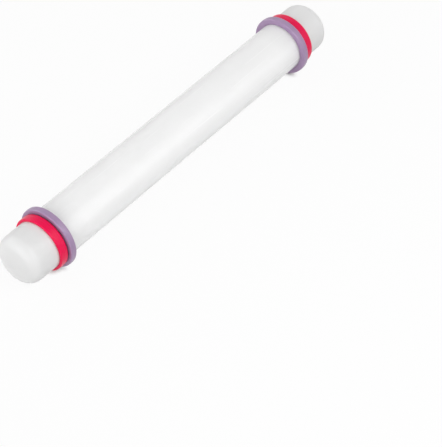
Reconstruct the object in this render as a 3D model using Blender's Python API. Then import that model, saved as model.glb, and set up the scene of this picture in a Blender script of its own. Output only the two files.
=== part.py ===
"""Adjustable rolling pin: a plastic roller with slide-on rings that set the dough's thickness.

The pin lies along X, centred on X and Y, and its largest rings touch Z = 0.
Lengths are in metres.
"""

import math

import bmesh
import bpy

# Driving dimensions of the whole pin
OVERALL_LENGTH = 0.2286
BARREL_RADIUS = 0.0130

# Barrel: a plain tube, open at both ends
BARREL_WALL = 0.0022
EDGE_CHAMFER = 0.0003

# End caps: a rounded nose as thick as the barrel, with a hollow, ribbed spigot
DOME_CORNER_RADIUS = 0.0062
DOME_CROWN_RISE = 0.0010
CAP_WALL = 0.0018
SPIGOT_LENGTH = 0.0120
SPIGOT_LEAD_IN = 0.0010
RIB_HEIGHT = 0.0005
RIB_SETBACK = 0.0012
RIB_SPACING_IN_FACETS = 4

# Thickness rings: their height above the barrel is the thickness of the rolled sheet
PINK_RING_HEIGHT = 0.0016
PINK_RING_WIDTH = 0.0050
PURPLE_RING_HEIGHT = 0.0032
PURPLE_RING_WIDTH = 0.0035
RING_EDGE_RADIUS = 0.0010
RING_BORE_CHAMFER = 0.0003
RING_SETBACK = 0.0105
EDGE_RADIUS_LIMIT_SHARE = 0.6

# Clearance between pieces that seat on each other
FIT_GAP = 0.0003
RING_GAP = 0.0003

# Smoothness of the turned shapes
FACETS = 32
EDGE_ARC_POINTS = 4
DOME_CORNER_POINTS = 8
DOME_CROWN_POINTS = 4
MERGE_SHARE = 0.00001
SMOOTH_ANGLE = math.radians(30)

# Places that follow from the sizes
DOME_HEIGHT = DOME_CORNER_RADIUS + DOME_CROWN_RISE
DOME_START_X = OVERALL_LENGTH / 2 - DOME_HEIGHT
BORE_RADIUS = BARREL_RADIUS - BARREL_WALL
PINK_RING_X = DOME_START_X - RING_SETBACK - PINK_RING_WIDTH / 2
PURPLE_RING_X = PINK_RING_X - (PINK_RING_WIDTH + PURPLE_RING_WIDTH) / 2 - RING_GAP
LARGEST_RADIUS = BARREL_RADIUS + max(PINK_RING_HEIGHT, PURPLE_RING_HEIGHT)
FACET_ANGLE = 2 * math.pi / FACETS
AXIS_HEIGHT = LARGEST_RADIUS * math.cos(FACET_ANGLE / 2)

# The seam between barrel and cap lies hidden under the middle of the pink ring
BARREL_END_X = PINK_RING_X - FIT_GAP / 2
SHOULDER_X = PINK_RING_X + FIT_GAP / 2
COLLAR_LENGTH = DOME_START_X - SHOULDER_X


def clear_scene():
    for leftover in list(bpy.data.objects):
        bpy.data.objects.remove(leftover)


def make_material(name, color, roughness):
    material = bpy.data.materials.new(name)
    material.use_nodes = True
    shader = material.node_tree.nodes["Principled BSDF"]
    shader.inputs["Base Color"].default_value = (*color, 1)
    shader.inputs["Roughness"].default_value = roughness
    shader.inputs["Metallic"].default_value = 0
    return material


def arc(center_radius, center_height, radius, start, end, points):
    """Points of an arc in a turned profile, each a (distance from the axis, height) pair."""
    outline = []
    for step in range(points):
        angle = start + (end - start) * step / (points - 1)
        across = center_radius + radius * math.cos(angle)
        along = center_height + radius * math.sin(angle)
        outline.append((across, along))
    return outline


def dome_outline(base_radius, corner_radius, start):
    """A rounded end: a corner arc that turns into a shallow crown on the axis."""
    height = corner_radius + DOME_CROWN_RISE
    flat_radius = base_radius - corner_radius
    crown_radius = (flat_radius ** 2 + height ** 2 - corner_radius ** 2) / (2 * DOME_CROWN_RISE)
    meet_angle = math.atan2(crown_radius - height, flat_radius)
    crown_center = start + height - crown_radius
    corner = arc(flat_radius, start, corner_radius, 0, meet_angle, DOME_CORNER_POINTS)
    crown = arc(0, crown_center, crown_radius, meet_angle, math.pi / 2, DOME_CROWN_POINTS)
    return corner + crown[1:-1] + [(0, start + height)]


def turn(outline, closed):
    """Spin a profile about the local Z axis. A flat facet faces each of local +X, -X, +Y and -Y."""
    mesh = bmesh.new()
    start = FACET_ANGLE / 2
    corners = []
    for across, along in outline:
        place = (across * math.cos(start), across * math.sin(start), along)
        corners.append(mesh.verts.new(place))
    edges = [mesh.edges.new(pair) for pair in zip(corners, corners[1:])]
    if closed:
        edges.append(mesh.edges.new((corners[-1], corners[0])))
    bmesh.ops.spin(
        mesh, geom=corners + edges, cent=(0, 0, 0), axis=(0, 0, 1),
        angle=2 * math.pi, steps=FACETS, use_merge=True,
    )
    bmesh.ops.remove_doubles(mesh, verts=mesh.verts, dist=MERGE_SHARE * BARREL_RADIUS)
    bmesh.ops.recalc_face_normals(mesh, faces=mesh.faces)
    return mesh


def place_piece(name, mesh, material, x, end):
    """Make the object, with its own Z axis along the pin and pointing out of the given end."""
    data = bpy.data.meshes.new(name)
    mesh.to_mesh(data)
    mesh.free()
    data.shade_smooth()
    data.set_sharp_from_angle(angle=SMOOTH_ANGLE)
    data.materials.append(material)
    piece = bpy.data.objects.new(name, data)
    bpy.context.scene.collection.objects.link(piece)
    piece.rotation_euler = (0, end * math.pi / 2, 0)
    piece.location = (end * x, 0, AXIS_HEIGHT)
    return piece


def edge_chamfer():
    return min(EDGE_CHAMFER, BARREL_WALL / 3)


def barrel_mesh():
    chamfer = edge_chamfer()
    outline = [
        (BARREL_RADIUS, BARREL_END_X - chamfer),
        (BARREL_RADIUS, chamfer - BARREL_END_X),
        (BARREL_RADIUS - chamfer, -BARREL_END_X),
        (BORE_RADIUS + chamfer, -BARREL_END_X),
        (BORE_RADIUS, chamfer - BARREL_END_X),
        (BORE_RADIUS, BARREL_END_X - chamfer),
        (BORE_RADIUS + chamfer, BARREL_END_X),
        (BARREL_RADIUS - chamfer, BARREL_END_X),
    ]
    return turn(outline, closed=True)


def raise_ribs(mesh, spigot_radius):
    """Lift every few facets of the spigot's wall into a crush rib."""
    facets = []
    for face in mesh.faces:
        middle = face.calc_center_median()
        off_axis = math.hypot(middle.x, middle.y)
        on_spigot = abs(off_axis - spigot_radius * math.cos(FACET_ANGLE / 2)) < RIB_HEIGHT / 2
        on_rib_length = SPIGOT_LEAD_IN < middle.z + SPIGOT_LENGTH < SPIGOT_LENGTH - RIB_SETBACK
        facet = round(math.atan2(middle.y, middle.x) / FACET_ANGLE)
        if on_spigot and on_rib_length and facet % RIB_SPACING_IN_FACETS == 0:
            facets.append((face, middle))
    for face, middle in facets:
        outward = middle.copy()
        outward.z = 0
        outward.normalize()
        lifted = bmesh.ops.extrude_discrete_faces(mesh, faces=[face])["faces"][0]
        bmesh.ops.translate(mesh, vec=outward * RIB_HEIGHT, verts=lifted.verts)


def end_cap_mesh():
    spigot_radius = BORE_RADIUS - FIT_GAP - RIB_HEIGHT
    inner_radius = spigot_radius - CAP_WALL
    inner_corner_radius = DOME_CORNER_RADIUS - CAP_WALL
    chamfer = edge_chamfer()
    collar = [(BARREL_RADIUS - chamfer, 0), (BARREL_RADIUS, chamfer)]
    outside = dome_outline(BARREL_RADIUS, DOME_CORNER_RADIUS, COLLAR_LENGTH)
    inside = dome_outline(inner_radius, inner_corner_radius, COLLAR_LENGTH)
    spigot = [
        (inner_radius, -SPIGOT_LENGTH),
        (spigot_radius - SPIGOT_LEAD_IN / 2, -SPIGOT_LENGTH),
        (spigot_radius, SPIGOT_LEAD_IN - SPIGOT_LENGTH),
        (spigot_radius, -RIB_SETBACK),
        (spigot_radius, 0),
    ]
    outline = list(reversed(inside)) + spigot + collar + outside
    mesh = turn(outline, closed=False)
    raise_ribs(mesh, spigot_radius)
    return mesh


def ring_mesh(ring_height, ring_width):
    bore = BARREL_RADIUS + FIT_GAP
    outer = BARREL_RADIUS + ring_height
    half_width = ring_width / 2
    wall = outer - bore
    edge = min(RING_EDGE_RADIUS, wall * EDGE_RADIUS_LIMIT_SHARE, half_width * EDGE_RADIUS_LIMIT_SHARE)
    chamfer = min(RING_BORE_CHAMFER, wall - edge, half_width / 2)
    quarter = math.pi / 2
    outline = [(bore, half_width - chamfer), (bore + chamfer, half_width)]
    outline += arc(outer - edge, half_width - edge, edge, quarter, 0, EDGE_ARC_POINTS)
    outline += arc(outer - edge, edge - half_width, edge, 0, -quarter, EDGE_ARC_POINTS)
    outline += [(bore + chamfer, -half_width), (bore, chamfer - half_width)]
    return turn(outline, closed=True)


def build_pin():
    white_plastic = make_material("white_polypropylene", (0.86, 0.86, 0.86), 0.35)
    cap_plastic = make_material("white_polypropylene_cap", (0.84, 0.84, 0.84), 0.40)
    pink_rubber = make_material("pink_silicone", (0.85, 0.03, 0.11), 0.45)
    purple_rubber = make_material("purple_silicone", (0.38, 0.29, 0.44), 0.45)

    place_piece("barrel", barrel_mesh(), white_plastic, 0, 1)
    for side, end in (("left", -1), ("right", 1)):
        place_piece(f"{side}_end_cap", end_cap_mesh(), cap_plastic, SHOULDER_X, end)
        pink = ring_mesh(PINK_RING_HEIGHT, PINK_RING_WIDTH)
        place_piece(f"{side}_pink_ring", pink, pink_rubber, PINK_RING_X, end)
        purple = ring_mesh(PURPLE_RING_HEIGHT, PURPLE_RING_WIDTH)
        place_piece(f"{side}_purple_ring", purple, purple_rubber, PURPLE_RING_X, end)


clear_scene()
build_pin()
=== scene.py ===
import math

import bmesh
import bpy
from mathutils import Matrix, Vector


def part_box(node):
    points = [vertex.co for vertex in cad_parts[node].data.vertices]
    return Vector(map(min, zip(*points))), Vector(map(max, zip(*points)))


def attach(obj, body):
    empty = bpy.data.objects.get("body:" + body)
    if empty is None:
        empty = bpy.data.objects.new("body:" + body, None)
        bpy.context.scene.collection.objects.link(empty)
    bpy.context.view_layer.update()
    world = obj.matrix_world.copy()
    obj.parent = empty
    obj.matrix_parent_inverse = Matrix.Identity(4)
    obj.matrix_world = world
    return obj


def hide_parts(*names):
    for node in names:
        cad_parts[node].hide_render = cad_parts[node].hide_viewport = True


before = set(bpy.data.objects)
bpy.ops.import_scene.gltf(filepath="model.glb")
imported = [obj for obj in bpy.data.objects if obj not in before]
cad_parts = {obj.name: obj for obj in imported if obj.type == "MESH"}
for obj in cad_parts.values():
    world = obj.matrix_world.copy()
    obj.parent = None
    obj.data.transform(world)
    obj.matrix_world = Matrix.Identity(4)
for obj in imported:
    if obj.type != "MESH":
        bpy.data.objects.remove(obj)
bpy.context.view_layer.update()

# Barrel. A length of extruded milky white polypropylene tube, cut square and lightly deburred.
# It is the part that rolls the dough, and everything else is carried on it or in it.

MM = 0.001
barrel_low, barrel_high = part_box("barrel")
BARREL_RADIUS = (barrel_high.z - barrel_low.z) / 2
AXIS_HEIGHT = (barrel_high.z + barrel_low.z) / 2
BARREL_HALF_LENGTH = (barrel_high.x - barrel_low.x) / 2
BARREL_WALL = 2.2 * MM
BARREL_EDGE = 0.15 * MM
BARREL_LOOPS = 22
# Loops this close to a bend keep its smooth shading off the flat beside it.
HOLD = 0.08 * MM
EDGE_POINTS = 4
TURN_STEPS = 160
QUARTER_TURN = math.pi / 2
SMOOTH_ANGLE = math.radians(35)
POLYPROPYLENE_IOR = 1.49
TUBE_WHITE = "ECECEC"
TUBE_CLOUD = "E8E8E8"
TUBE_CLOUD_SIZE = 18 * MM
# Painted shade over the spigots in the tube's ends: its colour, and where it starts and is full.
TUBE_SPIGOT_SHADE = "E1E1E1"
SPIGOT_SHADE_FROM = 74 * MM
SPIGOT_SHADE_FULL = 88 * MM
TUBE_LIGHT_SPREAD = 4 * MM
# Real draw lines are some 0.2 mm apart. They are 0.7 mm here, so that they show.
DRAW_LINE_SPACING = 0.7 * MM
DRAW_LINE_DEPTH = 0.04 * MM
# A line's width, as a share of its length.
DRAW_LINE_WIDTH_SHARE = 0.012


def feed(tree, node, inputs):
    """Set a node's inputs. Each takes a plain value, or the output socket that feeds it."""
    for name, value in inputs.items():
        if isinstance(value, bpy.types.NodeSocket):
            tree.links.new(value, node.inputs[name])
        else:
            node.inputs[name].default_value = value


def add_node(tree, kind, inputs=None, **settings):
    """Add a shader node with its settings and links."""
    node = tree.nodes.new(kind)
    for name, value in settings.items():
        setattr(node, name, value)
    feed(tree, node, inputs or {})
    return node


def linear(hex_code):
    """An sRGB hex colour as the linear colour, with alpha, that a shader socket takes."""
    channels = [int(hex_code[start:start + 2], 16) / 255 for start in (0, 2, 4)]
    return [c / 12.92 if c <= 0.04045 else ((c + 0.055) / 1.055) ** 2.4 for c in channels] + [1]


def arc(center_across, center_along, radius, start, end, points):
    """Points of an arc in a turned outline, as (distance from the axis, place along it)."""
    outline = []
    for step in range(points):
        angle = start + (end - start) * step / (points - 1)
        across = center_across + radius * math.cos(angle)
        outline.append((across, center_along + radius * math.sin(angle)))
    return outline


def turned_piece(name, outline, middle_x=0, end=1, closed=True, swell=None):
    """Turn an outline about the pin's axis. swell gives what a point gains in radius, by place."""
    mesh = bmesh.new()
    rows = []
    for across, along in outline:
        x = end * (middle_x + along)
        if across == 0:
            rows.append([mesh.verts.new((x, 0, AXIS_HEIGHT))])
            continue
        row = []
        for step in range(TURN_STEPS):
            angle = 2 * math.pi * step / TURN_STEPS
            radius = across + (swell(across, along, angle) if swell else 0)
            y = radius * math.sin(angle)
            z = AXIS_HEIGHT + radius * math.cos(angle)
            row.append(mesh.verts.new((x, y, z)))
        rows.append(row)
    next_rows = rows[1:] + rows[:1] if closed else rows[1:]
    for row, next_row in zip(rows, next_rows):
        for step in range(TURN_STEPS):
            after = (step + 1) % TURN_STEPS
            corners = [row[step % len(row)], row[after % len(row)]]
            corners += [next_row[after % len(next_row)], next_row[step % len(next_row)]]
            # A row on the axis is a single point, so the faces that reach it are triangles.
            mesh.faces.new(list(dict.fromkeys(corners)))
    bmesh.ops.recalc_face_normals(mesh, faces=mesh.faces)
    data = bpy.data.meshes.new(name)
    mesh.to_mesh(data)
    mesh.free()
    data.shade_smooth()
    data.set_sharp_from_angle(angle=SMOOTH_ANGLE)
    piece = bpy.data.objects.new(name, data)
    bpy.context.scene.collection.objects.link(piece)
    return piece


def extruded_polypropylene():
    """Milky, so light spreads in it and edges stay soft. Faint lines run the way it was drawn."""
    material = bpy.data.materials.new("extruded_polypropylene")
    material.use_nodes = True
    tree = material.node_tree
    place = add_node(tree, "ShaderNodeTexCoord").outputs["Object"]
    clouds = add_node(
        tree, "ShaderNodeTexNoise", {"Vector": place, "Scale": 1 / TUBE_CLOUD_SIZE, "Detail": 3},
    )
    tone = add_node(
        tree, "ShaderNodeMix",
        {0: clouds.outputs["Fac"], 6: linear(TUBE_WHITE), 7: linear(TUBE_CLOUD)}, data_type="RGBA",
    )
    # Painted shade: the tube is greyer over the spigots in its ends, which keep light out of it.
    along = add_node(tree, "ShaderNodeSeparateXYZ", {"Vector": place})
    off_middle = add_node(tree, "ShaderNodeMath", {0: along.outputs["X"]}, operation="ABSOLUTE")
    painted_spigot_shade = add_node(tree, "ShaderNodeMapRange", {
        "Value": off_middle.outputs["Value"],
        "From Min": SPIGOT_SHADE_FROM,
        "From Max": SPIGOT_SHADE_FULL,
    })
    tone = add_node(
        tree, "ShaderNodeMix",
        {0: painted_spigot_shade.outputs["Result"], 6: tone.outputs[2], 7: linear(TUBE_SPIGOT_SHADE)},
        data_type="RGBA",
    )
    drawn = add_node(
        tree, "ShaderNodeMapping", {"Vector": place, "Scale": (DRAW_LINE_WIDTH_SHARE, 1, 1)},
    )
    lines = add_node(
        tree, "ShaderNodeTexNoise",
        {"Vector": drawn.outputs["Vector"], "Scale": 1 / DRAW_LINE_SPACING, "Detail": 4},
    )
    rough = add_node(
        tree, "ShaderNodeMapRange", {"Value": lines.outputs["Fac"], "To Min": 0.18, "To Max": 0.32},
    )
    relief = add_node(
        tree, "ShaderNodeBump",
        {"Height": lines.outputs["Fac"], "Strength": 0.7, "Distance": DRAW_LINE_DEPTH},
    )
    feed(tree, tree.nodes["Principled BSDF"], {
        "Base Color": tone.outputs[2],
        "Roughness": rough.outputs["Result"],
        "Normal": relief.outputs["Normal"],
        "IOR": POLYPROPYLENE_IOR,
        "Subsurface Weight": 1,
        "Subsurface Radius": (1, 1, 1),
        "Subsurface Scale": TUBE_LIGHT_SPREAD,
    })
    return material


def barrel_outline():
    """From the right end along the outside to the left end, and back through the bore."""
    bore = BARREL_RADIUS - BARREL_WALL
    straight = BARREL_HALF_LENGTH - BARREL_EDGE
    edge_center = BARREL_RADIUS - BARREL_EDGE
    loops = [straight - 2 * straight * loop / BARREL_LOOPS for loop in range(1, BARREL_LOOPS)]
    outline = arc(edge_center, straight, BARREL_EDGE, QUARTER_TURN, 0, EDGE_POINTS)
    outline += [(BARREL_RADIUS, along) for along in [straight - HOLD] + loops + [HOLD - straight]]
    outline += arc(edge_center, -straight, BARREL_EDGE, 0, -QUARTER_TURN, EDGE_POINTS)
    outline += [(bore, -BARREL_HALF_LENGTH), (bore, BARREL_HALF_LENGTH)]
    return outline


barrel = turned_piece("barrel_tube", barrel_outline())
barrel.data.materials.append(extruded_polypropylene())
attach(barrel, "roller")
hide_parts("barrel")

# End caps. Injection moulded polypropylene noses with a hollow, ribbed spigot, pressed into the
# tube until the shoulder meets its cut end. The pink ring hides that seam. The round spot in the
# middle of each dome is where the mould was filled.

cap_low, cap_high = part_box("right_end_cap")
CAP_TIP = cap_high.x
SEAM_GAP = 0.05 * MM
SEAM_EDGE = 0.15 * MM
SHOULDER = BARREL_HALF_LENGTH + SEAM_GAP
DOME_CORNER = 6.2 * MM
DOME_HEIGHT = 7.2 * MM
DOME_POINTS = 20
INSIDE_POINTS = 10
COLLAR = CAP_TIP - SHOULDER - DOME_HEIGHT
COLLAR_LOOPS = 4
RIB_RISE = 0.5 * MM
RIB_COUNT = 8
# A rib's width, as a share of the ribs' spacing.
RIB_WIDTH_SHARE = 0.2
RIB_SETBACK = 1.2 * MM
RIB_SLOPE = 0.1 * MM
SPIGOT_END = cap_low.x
SPIGOT_GAP = 0.3 * MM
SPIGOT_RADIUS = BARREL_RADIUS - BARREL_WALL - SPIGOT_GAP - RIB_RISE
SPIGOT_WALL = 1.8 * MM
SPIGOT_LEAD_IN = 1.0 * MM
GATE_RADIUS = 1.1 * MM
GATE_RIM_DROP = 0.02 * MM
GATE_DEPTH = 0.12 * MM
GATE_FLOOR_RADIUS = 0.88 * MM
NUB_FOOT_RADIUS = 0.33 * MM
NUB_TOP_RADIUS = 0.22 * MM
NUB_RISE = 0.06 * MM
CAP_WHITE = "DADADA"
CAP_CLOUD = "D6D6D6"
CAP_CLOUD_SIZE = 9 * MM
CAP_LIGHT_SPREAD = 2 * MM
# The real grain is near 0.05 mm. It is 0.35 mm here, so that it shows at all.
CAP_GRAIN = 0.35 * MM
CAP_GRAIN_DEPTH = 0.02 * MM


def dome_points(base_radius, corner, height, points):
    """From the collar, a corner arc that turns into a shallow crown, up to the axis."""
    flat = base_radius - corner
    crown = (flat ** 2 + height ** 2 - corner ** 2) / (2 * (height - corner))
    meet = math.atan2(crown - height, flat)
    outline = arc(flat, COLLAR, corner, 0, meet, points)
    return outline + arc(0, COLLAR + height - crown, crown, meet, QUARTER_TURN, points)[1:-1]


def cap_outline():
    """From the inner tip, down the inside, round the spigot and up the dome to the gate spot."""
    tip = COLLAR + DOME_HEIGHT
    reach = SPIGOT_END - SHOULDER
    inner_radius = SPIGOT_RADIUS - SPIGOT_WALL
    inner_corner = DOME_CORNER - SPIGOT_WALL
    inside = dome_points(inner_radius, inner_corner, DOME_HEIGHT - SPIGOT_WALL, INSIDE_POINTS)
    dome = dome_points(BARREL_RADIUS, DOME_CORNER, DOME_HEIGHT, DOME_POINTS)
    rim = tip - GATE_RIM_DROP
    floor = rim - GATE_DEPTH
    outline = [(0, tip - SPIGOT_WALL)] + list(reversed(inside))
    outline += [(inner_radius, reach), (SPIGOT_RADIUS - SPIGOT_LEAD_IN / 2, reach)]
    outline += [(SPIGOT_RADIUS, reach + SPIGOT_LEAD_IN)]
    outline += [(SPIGOT_RADIUS, -RIB_SETBACK - RIB_SLOPE), (SPIGOT_RADIUS, -RIB_SETBACK)]
    outline += [(SPIGOT_RADIUS, 0)]
    outline += arc(BARREL_RADIUS - SEAM_EDGE, SEAM_EDGE, SEAM_EDGE, -QUARTER_TURN, 0, EDGE_POINTS)
    outline += [(BARREL_RADIUS, SEAM_EDGE + HOLD)]
    outline += [(BARREL_RADIUS, COLLAR * loop / COLLAR_LOOPS) for loop in range(1, COLLAR_LOOPS)]
    outline += [(BARREL_RADIUS, COLLAR - HOLD)]
    outline += [(across, along) for across, along in dome if across > GATE_RADIUS]
    outline += [(GATE_RADIUS, rim), (GATE_FLOOR_RADIUS, floor), (NUB_FOOT_RADIUS, floor)]
    outline += [(NUB_TOP_RADIUS, floor + NUB_RISE), (0, floor + NUB_RISE)]
    return outline


def crush_ribs(across, along, angle):
    """The spigot's ribs, which grip the tube's bore. They end short of the shoulder."""
    on_rib_length = across == SPIGOT_RADIUS and along < -RIB_SETBACK - RIB_SLOPE / 2
    share_of_spacing = (angle / (2 * math.pi) * RIB_COUNT) % 1
    return RIB_RISE if on_rib_length and share_of_spacing < RIB_WIDTH_SHARE else 0


def moulded_polypropylene():
    """Milky like the tube, but with the fine, even grain of a spark-eroded mould."""
    material = bpy.data.materials.new("moulded_polypropylene")
    material.use_nodes = True
    tree = material.node_tree
    place = add_node(tree, "ShaderNodeTexCoord").outputs["Object"]
    clouds = add_node(
        tree, "ShaderNodeTexNoise", {"Vector": place, "Scale": 1 / CAP_CLOUD_SIZE, "Detail": 3},
    )
    tone = add_node(
        tree, "ShaderNodeMix",
        {0: clouds.outputs["Fac"], 6: linear(CAP_WHITE), 7: linear(CAP_CLOUD)}, data_type="RGBA",
    )
    grain = add_node(
        tree, "ShaderNodeTexNoise", {"Vector": place, "Scale": 1 / CAP_GRAIN, "Detail": 2},
    )
    rough = add_node(
        tree, "ShaderNodeMapRange", {"Value": clouds.outputs["Fac"], "To Min": 0.42, "To Max": 0.50},
    )
    relief = add_node(
        tree, "ShaderNodeBump",
        {"Height": grain.outputs["Fac"], "Strength": 0.6, "Distance": CAP_GRAIN_DEPTH},
    )
    feed(tree, tree.nodes["Principled BSDF"], {
        "Base Color": tone.outputs[2],
        "Roughness": rough.outputs["Result"],
        "Normal": relief.outputs["Normal"],
        "IOR": POLYPROPYLENE_IOR,
        "Subsurface Weight": 1,
        "Subsurface Radius": (1, 1, 1),
        "Subsurface Scale": CAP_LIGHT_SPREAD,
    })
    return material


cap_finish = moulded_polypropylene()
for side, end in (("left", -1), ("right", 1)):
    cap = turned_piece(f"{side}_cap", cap_outline(), SHOULDER, end, closed=False, swell=crush_ribs)
    cap.data.materials.append(cap_finish)
    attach(cap, "roller")
    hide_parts(f"{side}_end_cap")

# Guide rings. Soft silicone bands, compression moulded in solid colour and stretched a little over
# the barrel, which they grip. The purple pair is twice as high as the pink pair outside it.

# Rounding of the rim towards the pin's end, then towards its middle. The pink ring's softer inner
# rim opens the dark groove beside the purple ring.
RING_EDGES = {"pink": (0.45 * MM, 1.1 * MM), "purple": (0.7 * MM, 0.7 * MM)}
RIM_POINTS = 8
RING_LIP = 0.25 * MM
SEAT_GAP = 0.03 * MM
RING_CROWN = 0.04 * MM
PARTING_RISE = 0.05 * MM
PARTING_HALF_WIDTH = 0.09 * MM
SILICONE_IOR = 1.41
SILICONE_LIGHT_SPREAD = 0.5 * MM
PINK = "E2004C"
PINK_DEEP = "D60042"
PINK_SHINE = 0.28
PURPLE = "9A80A2"
PURPLE_DEEP = "8F7697"
PURPLE_SHINE = 0.8
MOTTLE_SIZE = 3 * MM
# The mould's real grain is some 0.05 mm. It is 0.3 mm here, so that it shows.
RING_GRAIN = 0.3 * MM
RING_GRAIN_DEPTH = 0.02 * MM


def ring_outline(outer_radius, width, end_edge, middle_edge):
    """A band with rounded rims, a small lip at the bore, and a parting line round the outside."""
    half_width = width / 2
    lip = BARREL_RADIUS + SEAT_GAP + RING_LIP
    crown = outer_radius - PARTING_RISE
    rim = crown - RING_CROWN
    end_top = rim - end_edge
    middle_top = rim - middle_edge
    parting_foot = PARTING_HALF_WIDTH * 2
    outline = arc(lip, half_width - RING_LIP, RING_LIP, 2 * QUARTER_TURN, QUARTER_TURN, EDGE_POINTS)
    outline += [((lip + end_top) / 2, half_width)]
    outline += arc(end_top, half_width - end_edge, end_edge, QUARTER_TURN, 0, RIM_POINTS)
    outline += [(rim, half_width - end_edge - HOLD)]
    outline += [(crown, parting_foot + HOLD), (crown, parting_foot)]
    outline += [(outer_radius, PARTING_HALF_WIDTH), (outer_radius, -PARTING_HALF_WIDTH)]
    outline += [(crown, -parting_foot), (crown, -parting_foot - HOLD)]
    outline += [(rim, middle_edge - half_width + HOLD)]
    outline += arc(middle_top, middle_edge - half_width, middle_edge, 0, -QUARTER_TURN, RIM_POINTS)
    outline += [((lip + middle_top) / 2, -half_width)]
    outline += arc(lip, RING_LIP - half_width, RING_LIP, -QUARTER_TURN, -2 * QUARTER_TURN, EDGE_POINTS)
    return outline


def moulded_silicone(name, color, deep_color, shine):
    """Solid colour all through, with a satin skin that scatters a soft sheen along its edges."""
    material = bpy.data.materials.new(name)
    material.use_nodes = True
    tree = material.node_tree
    place = add_node(tree, "ShaderNodeTexCoord").outputs["Object"]
    mottle = add_node(
        tree, "ShaderNodeTexNoise", {"Vector": place, "Scale": 1 / MOTTLE_SIZE, "Detail": 4},
    )
    tone = add_node(
        tree, "ShaderNodeMix",
        {0: mottle.outputs["Fac"], 6: linear(color), 7: linear(deep_color)}, data_type="RGBA",
    )
    grain = add_node(
        tree, "ShaderNodeTexNoise", {"Vector": place, "Scale": 1 / RING_GRAIN, "Detail": 2},
    )
    rough = add_node(
        tree, "ShaderNodeMapRange", {"Value": mottle.outputs["Fac"], "To Min": 0.26, "To Max": 0.34},
    )
    relief = add_node(
        tree, "ShaderNodeBump",
        {"Height": grain.outputs["Fac"], "Strength": 0.6, "Distance": RING_GRAIN_DEPTH},
    )
    feed(tree, tree.nodes["Principled BSDF"], {
        "Base Color": tone.outputs[2],
        "Roughness": rough.outputs["Result"],
        "Normal": relief.outputs["Normal"],
        "IOR": SILICONE_IOR,
        "Specular IOR Level": shine,
        "Subsurface Weight": 0.1,
        "Subsurface Radius": (1, 0.6, 0.8),
        "Subsurface Scale": SILICONE_LIGHT_SPREAD,
    })
    return material


silicone = {
    "pink": moulded_silicone("pink_silicone", PINK, PINK_DEEP, PINK_SHINE),
    "purple": moulded_silicone("purple_silicone", PURPLE, PURPLE_DEEP, PURPLE_SHINE),
}
for side, end in (("left", -1), ("right", 1)):
    for tint in ("pink", "purple"):
        low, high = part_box(f"{side}_{tint}_ring")
        outline = ring_outline((high.z - low.z) / 2, high.x - low.x, *RING_EDGES[tint])
        ring = turned_piece(f"{side}_{tint}_band", outline, abs(high.x + low.x) / 2, end)
        ring.data.materials.append(silicone[tint])
        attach(ring, f"{side}_{tint}")
        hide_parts(f"{side}_{tint}_ring")

# Tabletop and light. A plain white table in a white room, with large soft boxes all round. The
# tall one at the right front gives the barrel its long highlight. What the camera and reflections
# see of the table is lifted towards white, and the pin's shadow stays on it.

TABLE_HALF = 3.0
TABLE_WHITE = "D6D6D6"
TABLE_LIFT = 0.94
CONTACT_REACH = 4 * MM
CONTACT_DARK = 0.35
CONTACT_CLEAR = 0.72
ROOM_LIGHT = 0.4
# Places and sizes are in metres, and powers in watts.
SOFT_BOXES = {
    "key_box": {"place": (0.94, -1.47, 0.92), "size": (0.60, 2.10), "power": 6},
    "near_box": {"place": (-0.05, -0.35, 0.40), "size": (0.30, 0.30), "power": 1.25},
    "left_box": {"place": (-2.15, -0.19, 0.79), "size": (2.40, 1.40), "power": 31},
    "right_box": {"place": (2.08, 0.37, 0.61), "size": (2.20, 1.20), "power": 10},
    "back_box": {"place": (-0.36, 2.04, 0.75), "size": (2.20, 1.00), "power": 13.5},
    "corner_box": {"place": (-1.50, 1.17, 1.10), "size": (1.80, 1.00), "power": 4},
}


def lifted_white(tree, lift, plain):
    """A strength that is lift for the camera and for reflections, and plain for other light."""
    rays = add_node(tree, "ShaderNodeLightPath").outputs
    seen = add_node(
        tree, "ShaderNodeMath", {0: rays["Is Camera Ray"], 1: rays["Is Glossy Ray"]},
        operation="MAXIMUM",
    )
    seen = add_node(
        tree, "ShaderNodeMath", {0: seen.outputs["Value"], 1: rays["Is Transmission Ray"]},
        operation="MAXIMUM",
    )
    strength = add_node(
        tree, "ShaderNodeMapRange", {"Value": seen.outputs["Value"], "To Min": plain, "To Max": lift},
    )
    return strength.outputs["Result"]


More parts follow.
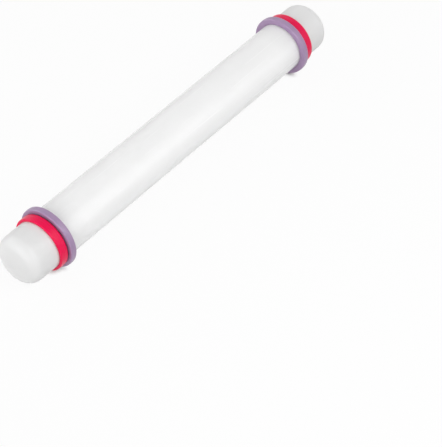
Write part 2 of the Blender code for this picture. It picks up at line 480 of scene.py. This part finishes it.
def white_tabletop():
    """Matt white paint, which shows the pin's soft shadow and a dark line where the rings stand."""
    material = bpy.data.materials.new("white_tabletop")
    material.use_nodes = True
    tree = material.node_tree
    tree.nodes.remove(tree.nodes["Principled BSDF"])
    matt = add_node(tree, "ShaderNodeBsdfDiffuse", {"Color": linear(TABLE_WHITE)})
    glow = add_node(tree, "ShaderNodeEmission", {"Color": (1, 1, 1, 1), "Strength": 1})
    # The lift would wash out the dark line under the rings, so it fades out close to them.
    crevice = add_node(tree, "ShaderNodeAmbientOcclusion", {"Distance": CONTACT_REACH}, samples=8)
    clear = add_node(tree, "ShaderNodeMapRange", {
        "Value": crevice.outputs["AO"],
        "From Min": CONTACT_DARK,
        "From Max": CONTACT_CLEAR,
    })
    lift = add_node(
        tree, "ShaderNodeMath", {0: lifted_white(tree, TABLE_LIFT, 0), 1: clear.outputs["Result"]},
        operation="MULTIPLY",
    )
    blend = add_node(
        tree, "ShaderNodeMixShader",
        {0: lift.outputs["Value"], 1: matt.outputs["BSDF"], 2: glow.outputs["Emission"]},
    )
    feed(tree, tree.nodes["Material Output"], {"Surface": blend.outputs["Shader"]})
    return material


corners = [(-TABLE_HALF, -TABLE_HALF, 0), (TABLE_HALF, -TABLE_HALF, 0)]
corners += [(TABLE_HALF, TABLE_HALF, 0), (-TABLE_HALF, TABLE_HALF, 0)]
table_data = bpy.data.meshes.new("table")
table_data.from_pydata(corners, [], [(0, 1, 2, 3)])
table_data.materials.append(white_tabletop())
table = bpy.data.objects.new("table", table_data)
bpy.context.scene.collection.objects.link(table)

room = bpy.data.worlds.new("white_room")
room.use_nodes = True
feed(room.node_tree, room.node_tree.nodes["Background"], {
    "Color": (1, 1, 1, 1),
    "Strength": lifted_white(room.node_tree, 1, ROOM_LIGHT),
})
bpy.context.scene.world = room

for name, box in SOFT_BOXES.items():
    lamp = bpy.data.objects.new(name, bpy.data.lights.new(name, "AREA"))
    lamp.data.shape = "RECTANGLE"
    lamp.data.size, lamp.data.size_y = box["size"]
    lamp.data.energy = box["power"]
    lamp.location = box["place"]
    lamp.rotation_euler = (-Vector(box["place"])).to_track_quat("-Z", "Y").to_euler()
    bpy.context.scene.collection.objects.link(lamp)

# Camera. A long lens from the pin's left front, high up, so that the pin runs away to the upper
# right of the picture. It aims at the table in front of the pin, which leaves the pin upper left.

CAMERA_PLACE = Vector((-0.5337, -0.4569, 0.6519))
CAMERA_AIM = Vector((-0.0199, -0.0471, 0))
LENS_MM = 154.9
SENSOR_MM = 36

camera = bpy.data.objects.new("camera", bpy.data.cameras.new("camera"))
camera.data.lens = LENS_MM
camera.data.sensor_width = SENSOR_MM
camera.location = CAMERA_PLACE
camera.rotation_euler = (CAMERA_AIM - CAMERA_PLACE).to_track_quat("-Z", "Y").to_euler()
bpy.context.scene.collection.objects.link(camera)
bpy.context.scene.camera = camera
bpy.context.scene.view_settings.view_transform = "Standard"
